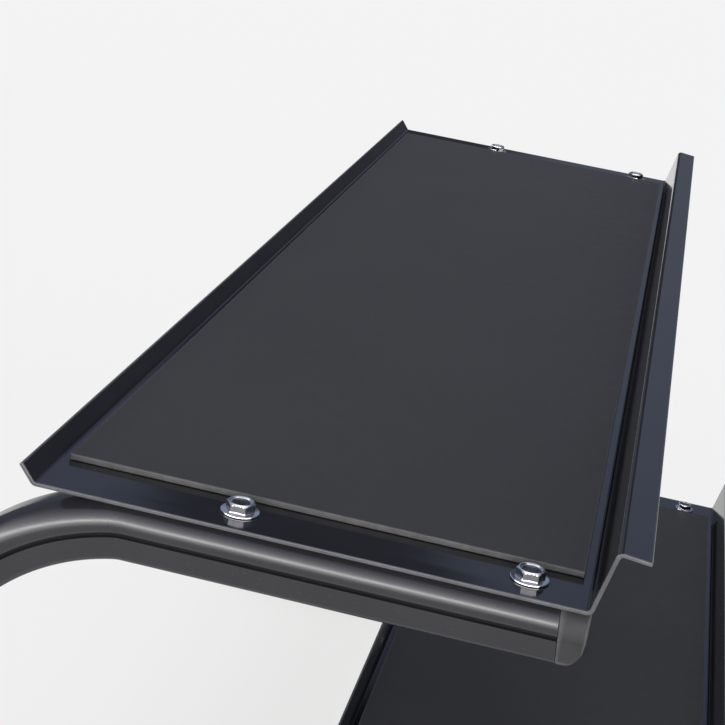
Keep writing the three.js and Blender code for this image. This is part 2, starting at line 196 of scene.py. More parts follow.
def rubber(name, dark, light, r_lo, r_hi, grain, depth, edge_wear_and_highlight, wear_and_highlight_strength):
    """Rubber with a fine pebble grain, paler on its corners for rubbing there and a painted edge highlight."""
    m, nt, b = new_mat(name)
    v = coords(nt)
    cloud = total(nt, remap(nt, noise(nt, v, 5.0, 2.0, 0.5), 0.3, 0.7, 0.0, 0.35), remap(nt, noise(nt, v, 420.0, 3.0, 0.6), 0.3, 0.7, 0.0, 0.65))
    col = ramp(nt, cloud, [(0.2, dark), (0.8, light)])
    vo = node(nt, "ShaderNodeTexVoronoi", feature="SMOOTH_F1")
    vo.inputs["Scale"].default_value = grain
    vo.inputs["Smoothness"].default_value = 0.6
    nt.links.new(v, vo.inputs["Vector"])
    dust = remap(nt, noise(nt, v, 700.0, 1.0), 0.74, 0.80, 0.0, 0.22)
    col = blend(nt, dust, col, (0.14, 0.135, 0.13))
    # paler corners: rubbing and a painted edge highlight
    mask = edge_mask(nt, v, 120.0, wear_and_highlight_strength * 0.5, wear_and_highlight_strength)
    col = blend(nt, mask, col, edge_wear_and_highlight)
    nt.links.new(col, b.inputs["Base Color"])
    nt.links.new(remap(nt, noise(nt, v, 55.0, 3.0), 0.3, 0.7, r_lo, r_hi), b.inputs["Roughness"])
    n1 = bump(nt, vo.outputs["Distance"], 0.55, depth)
    n2 = bump(nt, noise(nt, v, grain * 0.35, 3.0, 0.6), 0.4, depth * 1.4, n1)
    nt.links.new(n2, b.inputs["Normal"])
    b.inputs["IOR"].default_value = 1.5
    return m


def plated(name, dark, light, r_lo, r_hi, scale, bump_d):
    """Plated steel: cloudy reflectance, handling haze and duller corners."""
    m, nt, b = new_mat(name)
    v = coords(nt)
    b.inputs["Metallic"].default_value = 1.0
    col = ramp(nt, noise(nt, v, scale, 4.0, 0.6), [(0.25, dark), (0.75, light)])
    mask = edge_mask(nt, v, scale * 3, 0.15, 0.6)
    col = blend(nt, mask, col, tuple(min(1.0, c * 1.12) for c in light))
    nt.links.new(col, b.inputs["Base Color"])
    nt.links.new(total(nt, remap(nt, noise(nt, v, scale * 2.4, 3.0, 0.6), 0.3, 0.7, r_lo, r_hi), remap(nt, mask, 0.0, 1.0, 0.0, 0.10)), b.inputs["Roughness"])
    nt.links.new(bump(nt, noise(nt, v, scale * 9, 2.0), 0.25, bump_d), b.inputs["Normal"])
    return m


def moulded(name, dark, light, r_lo, r_hi, edge_wear_and_highlight, wear_and_highlight_strength):
    """Moulded plastic with a fine spark-eroded texture."""
    m, nt, b = new_mat(name)
    v = coords(nt)
    col = ramp(nt, noise(nt, v, 30.0, 3.0), [(0.3, dark), (0.7, light)])
    # paler corners: wear and a painted edge highlight
    mask = edge_mask(nt, v, 200.0, wear_and_highlight_strength * 0.5, wear_and_highlight_strength)
    nt.links.new(blend(nt, mask, col, edge_wear_and_highlight), b.inputs["Base Color"])
    nt.links.new(remap(nt, noise(nt, v, 120.0, 3.0), 0.3, 0.7, r_lo, r_hi), b.inputs["Roughness"])
    nt.links.new(bump(nt, noise(nt, v, 2400.0, 2.0, 0.6), 0.35, 0.00004), b.inputs["Normal"])
    b.inputs["IOR"].default_value = 1.47
    return m


# the paler corner colours below stand for edge wear and a painted edge highlight
M_TRAY = powder("tray_powder_coat", (0.0075, 0.0078, 0.0090), (0.0105, 0.0108, 0.0124), 0.085, 0.125, 0.10, (0.115, 0.115, 0.12), 0.62)
M_TUBE = powder("tube_powder_coat", (0.0118, 0.0115, 0.0136), (0.0150, 0.0147, 0.0170), 0.125, 0.170, 0.14, (0.050, 0.048, 0.052), 0.22)
# near-black crease finish with weak reflection: painted shade in the groove between crown and side
M_PAINTED_CREASE_SHADE = powder("painted_crease_shade", (0.0018, 0.0018, 0.0018), (0.0040, 0.0040, 0.0040), 0.5, 0.7, 0.3, (0.006, 0.006, 0.006), 0.4)
M_PAINTED_CREASE_SHADE.node_tree.nodes["Principled BSDF"].inputs["Specular IOR Level"].default_value = 0.12
M_MAT = rubber("mat_rubber", (0.0215, 0.0209, 0.0205), (0.0265, 0.0259, 0.0254), 0.54, 0.60, 1500.0, 0.00010, (0.080, 0.077, 0.073), 0.7)
M_CHROME = plated("bolt_chrome", (0.58, 0.59, 0.61), (0.80, 0.80, 0.81), 0.05, 0.13, 160.0, 0.00001)
# dark metal for the bolt heads' recess: painted shade in the hollow
M_PAINTED_RECESS_SHADE = plated("painted_recess_shade", (0.030, 0.030, 0.033), (0.14, 0.138, 0.135), 0.16, 0.34, 700.0, 0.00004)
M_ZINC = plated("zinc_plate", (0.42, 0.43, 0.45), (0.60, 0.60, 0.60), 0.26, 0.42, 220.0, 0.00002)
M_CAP = moulded("cap_plastic", (0.0125, 0.0122, 0.0130), (0.0180, 0.0176, 0.0186), 0.46, 0.58, (0.085, 0.085, 0.088), 0.65)
M_CAP.node_tree.nodes["Principled BSDF"].inputs["IOR"].default_value = 1.40
M_FOOT = rubber("foot_rubber", (0.011, 0.011, 0.0115), (0.018, 0.018, 0.0185), 0.55, 0.7, 1900.0, 0.00006, (0.05, 0.05, 0.05), 0.5)


# ---------------------------------------------------------------- mesh helpers
def make(name, verts, faces, mat, nodes=(), body="rack", sharp=32, loc=None, place=True, second=None):
    """A mesh object; second is (material, face test) for faces of another finish."""
    me = bpy.data.meshes.new(name)
    me.from_pydata([Vector(p) * MM for p in verts], [], faces)
    if second is not None:
        me.polygons.foreach_set("material_index", [1 if second[1](k) else 0 for k in range(len(faces))])
    bm = bmesh.new()
    bm.from_mesh(me)
    bmesh.ops.remove_doubles(bm, verts=bm.verts, dist=1e-6)
    bmesh.ops.recalc_face_normals(bm, faces=bm.faces)
    bm.to_mesh(me)
    bm.free()
    finish_mesh(me, sharp)
    me.materials.append(mat)
    if second is not None:
        me.materials.append(second[0])
    o = bpy.data.objects.new(name, me)
    scene.collection.objects.link(o)
    if place:
        settle(o, nodes, body, loc)
    return o


def settle(o, nodes, body, loc=None):
    if loc is not None:
        o.location = Vector(loc) * MM
    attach(o, body)
    if nodes:
        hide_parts(*nodes)


def finish_mesh(me, sharp):
    for p in me.polygons:
        p.use_smooth = True
    me.set_sharp_from_angle(angle=math.radians(sharp))
    # "edge" is 1 on corners and rims, for the paler corners in the finishes: wear there and a painted edge highlight
    old = me.attributes.get("edge")
    if old is not None:
        me.attributes.remove(old)
    edge_wear_and_highlight = [0.0] * len(me.vertices)
    bm = bmesh.new()
    bm.from_mesh(me)
    for e in bm.edges:
        if len(e.link_faces) == 2 and math.radians(11) < e.calc_face_angle_signed(0.0) < math.radians(80):
            for v in e.verts:
                edge_wear_and_highlight[v.index] = 1.0
    bm.free()
    at = me.attributes.new("edge", "FLOAT", "POINT")
    at.data.foreach_set("value", edge_wear_and_highlight)


def bake(o, sharp=None):
    """Applies o's modifiers to its mesh."""
    dg = bpy.context.evaluated_depsgraph_get()
    me = bpy.data.meshes.new_from_object(o.evaluated_get(dg), depsgraph=dg)
    old = o.data
    o.modifiers.clear()
    o.data = me
    bpy.data.meshes.remove(old)
    if sharp is not None:
        finish_mesh(me, sharp)
    return o


def bevelled(o, width, segments=2, angle=40, sharp=50):
    b = o.modifiers.new("bevel", "BEVEL")
    b.width = width * MM
    b.segments = segments
    b.limit_method = "ANGLE"
    b.angle_limit = math.radians(angle)
    b.miter_outer = "MITER_ARC"
    b.use_clamp_overlap = True
    return bake(o, sharp)


def cut(o, cylinders, sharp=None):
    """Cuts round holes: (centre, axis letter, radius, length) in mm."""
    if not cylinders:
        return o
    verts, faces = [], []
    for (cx, cy, cz), axis, r, length in cylinders:
        base = len(verts)
        n = 40
        for s in (-1, 1):
            for i in range(n):
                a = 2 * math.pi * i / n
                p, q = r * math.cos(a), r * math.sin(a)
                if axis == "z":
                    verts.append((cx + p, cy + q, cz + s * length / 2))
                else:
                    verts.append((cx + s * length / 2, cy + p, cz + q))
        faces.append(tuple(base + i for i in range(n))[::-1])
        faces.append(tuple(base + n + i for i in range(n)))
        for i in range(n):
            j = (i + 1) % n
            faces.append((base + i, base + j, base + n + j, base + n + i))
    tool = make("cutter", verts, faces, M_TUBE, place=False)
    md = o.modifiers.new("holes", "BOOLEAN")
    md.operation = "DIFFERENCE"
    md.solver = "EXACT"
    md.object = tool
    bake(o, sharp)
    bpy.data.objects.remove(tool)
    return o


def grid(loops, closed=True, cap0=True, cap1=True):
    """Faces between loops of the same count."""
    verts = [p for lp in loops for p in lp]
    n = len(loops[0])
    faces = []
    for k in range(len(loops) - 1):
        for i in range(n if closed else n - 1):
            j = (i + 1) % n
            faces.append((k * n + i, k * n + j, (k + 1) * n + j, (k + 1) * n + i))
    if cap0:
        faces.append(tuple(range(n))[::-1])
    if cap1:
        faces.append(tuple((len(loops) - 1) * n + i for i in range(n)))
    return verts, faces


def tube_grid(outer, inner):
    """Wall between outer and inner loops, open at both ends."""
    loops = [*outer, *inner[::-1], outer[0]]
    return grid(loops, cap0=False, cap1=False)


N_FOOT_PTS = 3 + 7          # section points before the flat side


def arm_section(off, n_top=18, n_foot=6, groove=False):
    """Half-round crown on a flat-sided box; the flat side is set in a little below the crown."""
    w, y0, y1 = TUBE_W / 2 - off, off, TUBE_H - off
    a, b, r = SHOULDER_A - off, SHOULDER_B - off, max(FOOT_R - off, 0.8)
    pts = [(w - r - 20.0, y0), (w - r - 2.5, y0), (w - r - 0.8, y0)]
    for i in range(n_foot + 1):
        t = -math.pi / 2 + i / n_foot * math.pi / 2
        pts.append((w - r + r * math.cos(t), y0 + r + r * math.sin(t)))
    z1 = y1 - b
    g = 1.0 if groove else 0.0
    pts += [(w, y0 + r + 0.8), (w, y0 + r + 2.5), (w, (y0 + r + z1) / 2), (w, z1 - 2.6), (w, z1 - 1.9), (w - 0.3 * g, z1 - 1.6),
            (w - 1.3 * g, z1 - 0.8), (w - 1.3 * g, z1 - 0.4), (w - 0.35 * g, z1 + 0.1)]
    for i in range(n_top + 1):
        t = (i / n_top * (1 - 0.05 * g) + 0.05 * g) * math.pi / 2 if groove else i / n_top * math.pi / 2
        pts.append((w - a + a * math.cos(t), z1 + b * math.sin(t)))
    left = [(-x, y) for x, y in pts][::-1]
    return pts + left


N_SEC = len(arm_section(0))
IN_GROOVE = [k for k in range(N_SEC) if k in range(N_FOOT_PTS + 4, N_FOOT_PTS + 9) or N_SEC - 2 - k in range(N_FOOT_PTS + 4, N_FOOT_PTS + 9)]


def rect_section(w, h, r, off, n=6):
    rr, hw, y0, y1 = max(r - off, 0.6), w / 2 - off, off, h - off
    corners = ((hw - rr, y0 + rr, -90), (hw - rr, y1 - rr, 0), (-hw + rr, y1 - rr, 90), (-hw + rr, y0 + rr, 180))
    arcs = []
    for cx, cy, a0 in corners:
        arcs.append([(cx + rr * math.cos(math.radians(a0 + 90 * i / n)), cy + rr * math.sin(math.radians(a0 + 90 * i / n))) for i in range(n + 1)])
    pts = []
    for k in range(4):
        p, q = arcs[k][-1], arcs[(k + 1) % 4][0]
        l = math.hypot(q[0] - p[0], q[1] - p[1])
        pts += arcs[k]
        for d in (0.8, 2.5, l / 2, l - 2.5, l - 0.8):
            pts.append((p[0] + (q[0] - p[0]) * d / l, p[1] + (q[1] - p[1]) * d / l))
    return pts


def near_edges(line, dists):
    """Adds stations close to both ends of a sheet's centreline."""
    def between(p, q, d):
        l = math.hypot(q[0] - p[0], q[1] - p[1])
        return (p[0] + (q[0] - p[0]) * d / l, p[1] + (q[1] - p[1]) * d / l, p[2], p[3])
    return [line[0]] + [between(line[0], line[1], d) for d in dists] + line[1:-1] + [between(line[-1], line[-2], d) for d in dists[::-1]] + [line[-1]]


def bent_sheet(upper, t, r, n=10):
    """Centreline stations of a bent sheet: [(y, z, ny, nz)], n pointing to the lower side."""
    d, nr = [], []
    for p, q in zip(upper, upper[1:]):
        e = (q[0] - p[0], q[1] - p[1])
        l = math.hypot(*e)
        d.append((e[0] / l, e[1] / l))
        nr.append((e[1] / l, -e[0] / l))
    mid = []
    for i, p in enumerate(upper):
        a, b = nr[max(i - 1, 0)], nr[min(i, len(nr) - 1)]
        c = 1 + a[0] * b[0] + a[1] * b[1]
        mid.append((p[0] + (a[0] + b[0]) / c * t / 2, p[1] + (a[1] + b[1]) / c * t / 2))
    line = [(*mid[0], *nr[0])]
    for i in range(1, len(mid) - 1):
        d0, d1, m = d[i - 1], d[i], nr[i - 1]
        ang = math.atan2(d0[0] * d1[1] - d0[1] * d1[0], d0[0] * d1[0] + d0[1] * d1[1])
        back = r * math.tan(abs(ang) / 2)
        s = (mid[i][0] - d0[0] * back, mid[i][1] - d0[1] * back)
        side = math.copysign(1, ang)
        c = (s[0] - m[0] * side * r, s[1] - m[1] * side * r)
        for k in range(n + 1):
            th = ang * k / n
            co, si = math.cos(th), math.sin(th)
            mm = (m[0] * co - m[1] * si, m[0] * si + m[1] * co)
            line.append((c[0] + mm[0] * side * r, c[1] + mm[1] * side * r, *mm))
    line.append((*mid[-1], *nr[-1]))
    return line


# ---------------------------------------------------------------- trays, mats, ribs
def extrude_x(loop_fn, half, e=0.45, n=4):
    """Closed outline extruded along X, its ends rounded by e; loop_fn(inset) gives the outline."""
    xs = []
    for i in range(n + 1):
        a = math.pi / 2 * i / n
        xs.append((half - e + e * math.sin(a), e - e * math.cos(a)))
    inner = [half - e - 0.8, half - e - 2.5, half - e - 12.0, half - 60.0] + [half * k / 8 for k in range(7, 0, -1) if half * k / 8 < half - 70.0]
    loops = [[(-x, y, z) for y, z in loop_fn(ins)] for x, ins in xs[::-1]]
    loops += [[(-x, y, z) for y, z in loop_fn(0.0)] for x in inner]
    loops += [[(x, y, z) for y, z in loop_fn(0.0)] for x in [0.0] + inner[::-1]]
    loops += [[(x, y, z) for y, z in loop_fn(ins)] for x, ins in xs]
    return loops


def sheet_piece(name, upper, t, r, half, mat, nodes, e=0.45, n=10, holes=()):
    line = near_edges(bent_sheet(upper, t, r, n), (e + 0.6, e + 2.4))

    def loop(ins):
        tt = t - 2 * ins
        hi = [(a - p * tt / 2, b - q * tt / 2) for a, b, p, q in line]
        lo = [(a + p * tt / 2, b + q * tt / 2) for a, b, p, q in line]
        def edge(idx, other):
            a, b, p, q = line[idx]
            tx, ty = a - line[other][0], b - line[other][1]
            l = math.hypot(tx, ty)
            tx, ty = tx / l, ty / l
            ee = e
            out = []
            for s in (-1, 1):
                cx = a + s * p * (t / 2 - ee) - tx * ee
                cy = b + s * q * (t / 2 - ee) - ty * ee
                rad = max(ee - ins, 0.02)
                for i in (range(0, 5) if s < 0 else range(4, -1, -1)):
                    th = math.pi / 2 * i / 4
                    out.append((cx + tx * rad * math.sin(th) + s * p * rad * math.cos(th),
                                cy + ty * rad * math.sin(th) + s * q * rad * math.cos(th)))
            return out
        return hi[1:-1] + edge(-1, -2) + lo[1:-1][::-1] + edge(0, 1)[::-1]
    loops = extrude_x(loop, half, e)
    verts, faces = grid(loops)
    o = make(name, verts, faces, mat, place=False)
    # the end faces are long concave outlines: cut them into triangles
    bm = bmesh.new()
    bm.from_mesh(o.data)
    big = [f for f in bm.faces if len(f.verts) > 4]
    bmesh.ops.triangulate(bm, faces=big, ngon_method="EAR_CLIP")
    bm.to_mesh(o.data)
    bm.free()
    cut(o, holes)
    finish_mesh(o.data, 30)
    settle(o, nodes, "rack")
    return o


for tier, tz, tu in TIERS:
    up = [
        (Y(tu + FLOOR_W + FRONT_LEAN + LIP_W), tz + FRONT_H - LIP_DROP), (Y(tu + FLOOR_W + FRONT_LEAN), tz + FRONT_H),
        (Y(tu + FLOOR_W), tz), (Y(tu), tz), (Y(tu - BACK_LEAN), tz + BACK_H),
    ]
    holes = [((s * FRAME_X, Y(u + tu), tz - 1.5), "z", 6.5, 8.0) for _, s in SIDES for u in BOLT_U]
    sheet_piece(f"{tier}_tray_sheet", up, SHEET, BEND_R, TRAY_L / 2, M_TRAY, [f"{tier}_tray"], e=0.9, holes=holes)

    # mat: soft-edged slab
    def mat_loop(ins, w=MAT_W, t=MAT_T, r=0.8):
        rr = max(r - ins, 0.02)
        arcs = []
        for cx, cy, a0 in ((w / 2 - r, -t / 2 + r, -90), (w / 2 - r, t / 2 - r, 0), (-w / 2 + r, t / 2 - r, 90), (-w / 2 + r, -t / 2 + r, 180)):
            arcs.append([(cx + rr * math.cos(math.radians(a0 + 22.5 * i)), cy + rr * math.sin(math.radians(a0 + 22.5 * i))) for i in range(5)])
        pts = []
        for k in range(4):
            p, q = arcs[k][-1], arcs[(k + 1) % 4][0]
            l = math.hypot(q[0] - p[0], q[1] - p[1])
            pts += arcs[k]
            for d in ((0.9, 2.6, 20.0, l / 2, l - 20.0, l - 2.6, l - 0.9) if l > 30 else (0.5, l - 0.5)):
                pts.append((p[0] + (q[0] - p[0]) * d / l, p[1] + (q[1] - p[1]) * d / l))
        return pts
    cy, cz = Y(tu + MAT_U + MAT_W / 2), tz + GAP + MAT_T / 2
    loops = extrude_x(lambda ins: [(cy + a, cz + b) for a, b in mat_loop(ins)], TRAY_L / 2 - MAT_INSET, 0.8)
    v, f = grid(loops)
    make(f"{tier}_mat_sheet", v, f, M_MAT, [f"{tier}_mat"], sharp=50)

    zr, yr = tz - SHEET - GAP, Y(RIB_U + tu)
    hat = [(yr - 52, zr), (yr - 32, zr), (yr - 26, zr - 28), (yr + 26, zr - 28), (yr + 32, zr), (yr + 52, zr)]
    sheet_piece(f"{tier}_rib_hat", hat, 2.0, 3.0, RIB_HALF, M_TUBE, [f"{tier}_tray_rib"], e=0.3, n=6)


# ---------------------------------------------------------------- arm tubes
def arm_path(tu, tz, leg_bottom):
    z_in = tz - SHEET - GAP - TUBE_H
    st = [(Y(ARM_FRONT + tu), z_in, 1.0, 0.0)]
    for d in (1.0, 3.0, 10.0):
        st.append((Y(ARM_FRONT - d + tu), z_in, 1.0, 0.0))
    for k in range(1, 12):
        u = ARM_FRONT - 10 + (BEND_U + 10 - ARM_FRONT) * k / 12
        st.append((Y(u + tu), z_in, 1.0, 0.0))
    pos = [BEND_U, z_in]

    def arc(r, lo, hi, n):
        a0 = math.radians(lo)
        for i in range(1 if lo else 0, n + 1):
            a = a0 + math.radians(hi - lo) * i / n
            st.append((Y(pos[0] + r * (math.sin(a0) - math.sin(a)) + tu), pos[1] - r * (math.cos(a0) - math.cos(a)), math.cos(a), -math.sin(a)))
        a1 = math.radians(hi)
        pos[0] += r * (math.sin(a0) - math.sin(a1))
        pos[1] -= r * (math.cos(a0) - math.cos(a1))
    arc(KINK_R, 0, KINK, 6)
    arc(BEND_IN, KINK, 90, 40)
    y, z = st[-1][0], st[-1][1]
    steps = max(2, int((z - leg_bottom) / 60))
    for k in range(1, steps):
        st.append((y, z + (leg_bottom - z) * k / steps, 0.0, -1.0))
    for d in (10.0, 3.0, 1.0, 0.0):
        st.append((y, leg_bottom + d, 0.0, -1.0))
    return st


LEG_U = BEND_U - KINK_R * math.sin(math.radians(KINK)) - BEND_IN * (1 - math.sin(math.radians(KINK)))


def sweep(st, sec, x0):
    """Section loops along the path; the front end leans back, and the lean fades over its first 10 mm."""
    out = []
    for y, z, ty, tz in st:
        d = (y - st[0][0]) if ty == 1.0 else 99.0
        k = END_RAKE * max(0.0, 1 - d / 10.0)
        out.append([(x0 + a, y - tz * b + k * b, z + ty * b) for a, b in sec])
    return out


for tier, tz, tu in TIERS:
    for side, s in SIDES:
        x0 = s * FRAME_X
        st = arm_path(tu, tz, RAIL_TOP + GAP)
        outer, inner = sweep(st, arm_section(0, groove=True), x0), sweep(st, arm_section(TUBE_T), x0)
        # a small round on the outer rim of both ends
        e = 0.5
        def rim(k_end, dirsign):
            y, z, ty, tzz = st[k_end]
            lean = END_RAKE if k_end == 0 else 0.0
            out = []
            for i in range(4):
                a = math.pi / 2 * i / 3
                back, ins = e * (1 - math.sin(a)), e * (1 - math.cos(a))
                yy, zz = y - dirsign * ty * back, z - dirsign * tzz * back
                out.append([(x0 + p, yy - tzz * q + lean * q, zz + ty * q) for p, q in arm_section(ins, groove=True)])
            return out
        outer = rim(0, -1)[::-1] + outer[1:-1] + rim(-1, 1)
        v, f = tube_grid(outer, inner)
        n_out = len(outer) - 1
        # the groove faces take the near-black crease finish, painted shade
        o = make(f"{tier}_arm_{side}_tube", v, f, M_TUBE, place=False, second=(M_PAINTED_CREASE_SHADE, lambda k: k // N_SEC < n_out and k % N_SEC in IN_GROOVE))
        cut(o, [((x0, Y(u + tu), tz - SHEET - 4), "z", 6.5, 9.0) for u in BOLT_U])
        finish_mesh(o.data, 30)
        settle(o, [f"{tier}_arm_tube_{side}"], "rack")

        # moulded end cap: closed nose with a hollow spigot
        z0 = tz - SHEET - GAP - TUBE_H
        yf = Y(CAP_FRONT + tu)
        re, rt = 1.6, 3.0

        def rear(b, d=0.0):
            return Y(ARM_FRONT - END_RAKE * b + tu) - GAP - d
        loops = [[(x0 + a, rear(b, d), z0 + b) for a, b in arm_section(ins)] for d, ins in ((0.0, 0.5), (0.15, 0.2), (0.5, 0.0))]
        ds = [NOSE_U * math.cos(math.pi / 2 * i / 24) for i in range(25)]
        for d in ds:
            lo = NOSE_Z - NOSE_Z * math.sqrt(max(1 - ((NOSE_U - d) / NOSE_U) ** 2, 0))
            ins = 0.0 if d >= re else re - math.sqrt(max(re ** 2 - (re - d) ** 2, 0))
            top = TUBE_H - (0.0 if d >= rt else rt - math.sqrt(max(rt ** 2 - (rt - d) ** 2, 0)))
            loops.append([(x0 + a, yf + d, z0 + min(max(b, lo), top)) for a, b in arm_section(ins)])
        spig = [[(x0 + a, rear(b), z0 + b) for a, b in arm_section(TUBE_T + 0.35)],
                [(x0 + a, rear(0) + 14.2, z0 + b) for a, b in arm_section(TUBE_T + 0.35)],
                [(x0 + a, rear(0) + 15.0, z0 + b) for a, b in arm_section(TUBE_T + 1.0)]]
        v, f = grid(spig[::-1] + loops)
        o = make(f"{tier}_cap_{side}_nose", v, f, M_CAP, [f"{tier}_arm_cap_{side}"], sharp=48)


# ---------------------------------------------------------------- screws, nuts, feet
N_HEX = 96


def hex_r(theta, af, soft=0.25):
    a = (math.degrees(theta) + 30) % 60 - 30
    r = af / 2 / math.cos(math.radians(a))
    lim = af / math.sqrt(3) - soft
    return r if r < lim - soft else lim - soft + (r - (lim - soft)) * 0.45


def bolt_loops(d, fr, af, h, shank):
    th = [2 * math.pi * i / N_HEX for i in range(N_HEX)]
    prof = [(d / 2 - 0.9, -shank), (d / 2, -shank + 0.9), (d / 2, -0.05), (d / 2 + 0.3, 0.0), (fr - 0.4, 0.0), (fr - 0.1, 0.1), (fr, 0.4), (fr - 0.04, 0.9),
            (fr - 0.16, 1.16), (fr - 0.45, 1.3), (fr - 1.2, 1.38), (af / 2 + 2.3, 1.55), (af / 2 + 1.7, 1.64)]
    loops = [[(r * math.cos(t), r * math.sin(t), z) for t in th] for r, z in prof]
    for k in range(4):                                     # fillet from flange to hexagon
        a = k / 3
        loops.append([((hex_r(t, af) + (af / 2 + 1.5 - hex_r(t, af)) * (1 - a) ** 2 * 0.6) * math.cos(t),
                       (hex_r(t, af) + (af / 2 + 1.5 - hex_r(t, af)) * (1 - a) ** 2 * 0.6) * math.sin(t), 1.7 + 0.6 * a) for t in th])
    top_r = af / 2 - 0.75
    for k in range(13):                                    # chamfered crown cuts the corners
        z = 3.0 + (h - 3.0) * k / 12
        cone = top_r + (h - z) * 1.55 if z < h - 0.35 else top_r + 0.54 * (max(h - z, 0.0) / 0.35) ** 0.5
        loops.append([(min(hex_r(t, af), cone) * math.cos(t), min(hex_r(t, af), cone) * math.sin(t), z) for t in th])
    rim = [(top_r - 0.35, h + 0.0), (top_r - 0.65, h - 0.1), (top_r - 0.95, h - 0.5), (top_r - 1.25, h - 1.1), (top_r - 1.9, h - 1.35), (top_r - 2.6, h - 1.4), (top_r - 3.0, h - 1.55),
           (top_r - 3.4, h - 1.85), (top_r - 4.1, h - 2.0), (1.6, h - 2.0), (0.4, h - 2.0)]
    loops += [[(r * math.cos(t), r * math.sin(t), z) for t in th] for r, z in rim if r > 0.3]
    return loops


def thread_loops(r, pitch, z0, z1, depth=0.55, n=48):
    out, z = [], z0
    while z <= z1 + 1e-6:
        lp = []
        for i in range(n):
            t = 2 * math.pi * i / n
            ph = ((z - z0) / pitch - i / n) % 1.0
            tri = 1 - abs(2 * ph - 1)
            fade = min(1.0, (z - z0) / 0.6, (z1 - z) / 0.6)
            lp.append(((r - depth * tri * max(fade, 0)) * math.cos(t), (r - depth * tri * max(fade, 0)) * math.sin(t), z))
        out.append(lp)
        z += pitch / 8
    return out


def shared(name, loops, mat, closed_ring=False, sharp=28, dish=0):
    """dish is the number of last rings that lie in the head's recess; they get a dark metal finish as painted shade.
    """
    if closed_ring:
        v, f = grid(loops + [loops[0]], cap0=False, cap1=False)
    else:
        v, f = grid(loops)
    n = len(loops[0])
    # the recess rings take the dark metal, painted shade
    second = (M_PAINTED_RECESS_SHADE, lambda k: k // n >= len(loops) - 1 - dish and k < (len(loops) - 1) * n or k == len(f) - 1) if dish else None
    o = make(name, v, f, mat, place=False, sharp=sharp, second=second)
    me = o.data
    bpy.data.objects.remove(o)
    return me


def nut_loops(bore, af, h, c=1.0):
    th = [2 * math.pi * i / N_HEX for i in range(N_HEX)]
    loops = []
    face_r = af / 2 - 0.2
    for k in range(5):
        z = c * k / 4 * 0.6
        cone = face_r + 0.5 + z * 1.9
        loops.append([(min(hex_r(t, af), cone) * math.cos(t), min(hex_r(t, af), cone) * math.sin(t), z) for t in th])
    for k in range(5):
        z = h - c * 0.6 * (1 - k / 4)
        cone = face_r + 0.5 + (h - z) * 1.9
        loops.append([(min(hex_r(t, af), cone) * math.cos(t), min(hex_r(t, af), cone) * math.sin(t), z) for t in th])
    for r, z in ((bore + 0.9, h), (bore, h - 0.8), (bore, 0.8), (bore + 0.9, 0)):
        loops.append([(r * math.cos(t), r * math.sin(t), z) for t in th])
    return loops


ME_BOLT12 = shared("flange_bolt_m12", bolt_loops(12, 14.0, 19.0, 8.4, 21.0), M_CHROME, dish=6)
ME_BOLT10 = shared("flange_bolt_m10", bolt_loops(10, 10.5, 14.0, 9.0, 20.0), M_ZINC, dish=6)
ME_LOCK = shared("lock_nut_m10", nut_loops(5.4, 16.0, 5.5), M_ZINC, closed_ring=True)
ME_NUT12 = shared("nut_m12", nut_loops(6.4, 18.0, 10.0), M_ZINC, closed_ring=True)
ME_NUT10 = shared("nut_m10", nut_loops(5.4, 16.0, 8.0), M_ZINC, closed_ring=True)


def put(name, me, loc, nodes, body="rack", rot=None, turn=0.0):
    o = bpy.data.objects.new(name, me)
    scene.collection.objects.link(o)
    m = Matrix.Rotation(math.radians(turn), 4, "Z")
    if rot is not None:
        m = Matrix.Rotation(math.radians(rot), 4, "Y") @ m
    o.matrix_world = Matrix.Translation(Vector(loc) * MM) @ m
    bpy.context.view_layer.update()
    settle(o, nodes, body)
    return o


TURN = {"upper_left_back": 1, "upper_left_front": 6, "upper_right_back": 41, "upper_right_front": 3,
        "lower_left_back": 17, "lower_left_front": 50, "lower_right_back": 12, "lower_right_front": 33}
for tier, tz, tu in TIERS:
    for side, s in SIDES:
        for where, u in zip(("back", "front"), BOLT_U):
            put(f"{tier}_bolt_{side}_{where}", ME_BOLT12, (s * FRAME_X, Y(u + tu), tz + GAP), [f"{tier}_tray_bolt_{side}_{where}"],
                turn=TURN[f"{tier}_{side}_{where}"])
            put(f"{tier}_nut_{side}_{where}", ME_NUT12, (s * FRAME_X, Y(u + tu), tz - SHEET - GAP - TUBE_T - 1.4 - 10), [f"{tier}_tray_nut_{side}_{where}"], turn=30)


# ---------------------------------------------------------------- base
def bead(path, r, mat, name, ripple=2.6):
    """A weld bead along a closed path of (x, y, z, outward x, outward y, outward z, second x, y, z)."""
    loops = []
    total = 0.0
    prev = None
    for p in path:
        q = Vector(p[:3])
        if prev is not None:
            total += (q - prev).length
        prev = q
        rr = r * (1 + 0.10 * math.cos(2 * math.pi * total / ripple))
        a, b = Vector(p[3:6]), Vector(p[6:9])
        loops.append([tuple(q + a * rr * math.cos(t) + b * rr * math.sin(t)) for t in [2 * math.pi * k / 12 for k in range(12)]])
    v, f = grid(loops + [loops[0]], cap0=False, cap1=False)
    return make(name, v, f, mat, sharp=60)


def dense(loop, step=0.9):
    out = []
    for p, q in zip(loop, loop[1:] + loop[:1]):
        d = math.hypot(q[0] - p[0], q[1] - p[1])
        n = max(1, int(d / step))
        for k in range(n):
            out.append((p[0] + (q[0] - p[0]) * k / n, p[1] + (q[1] - p[1]) * k / n))
    return out


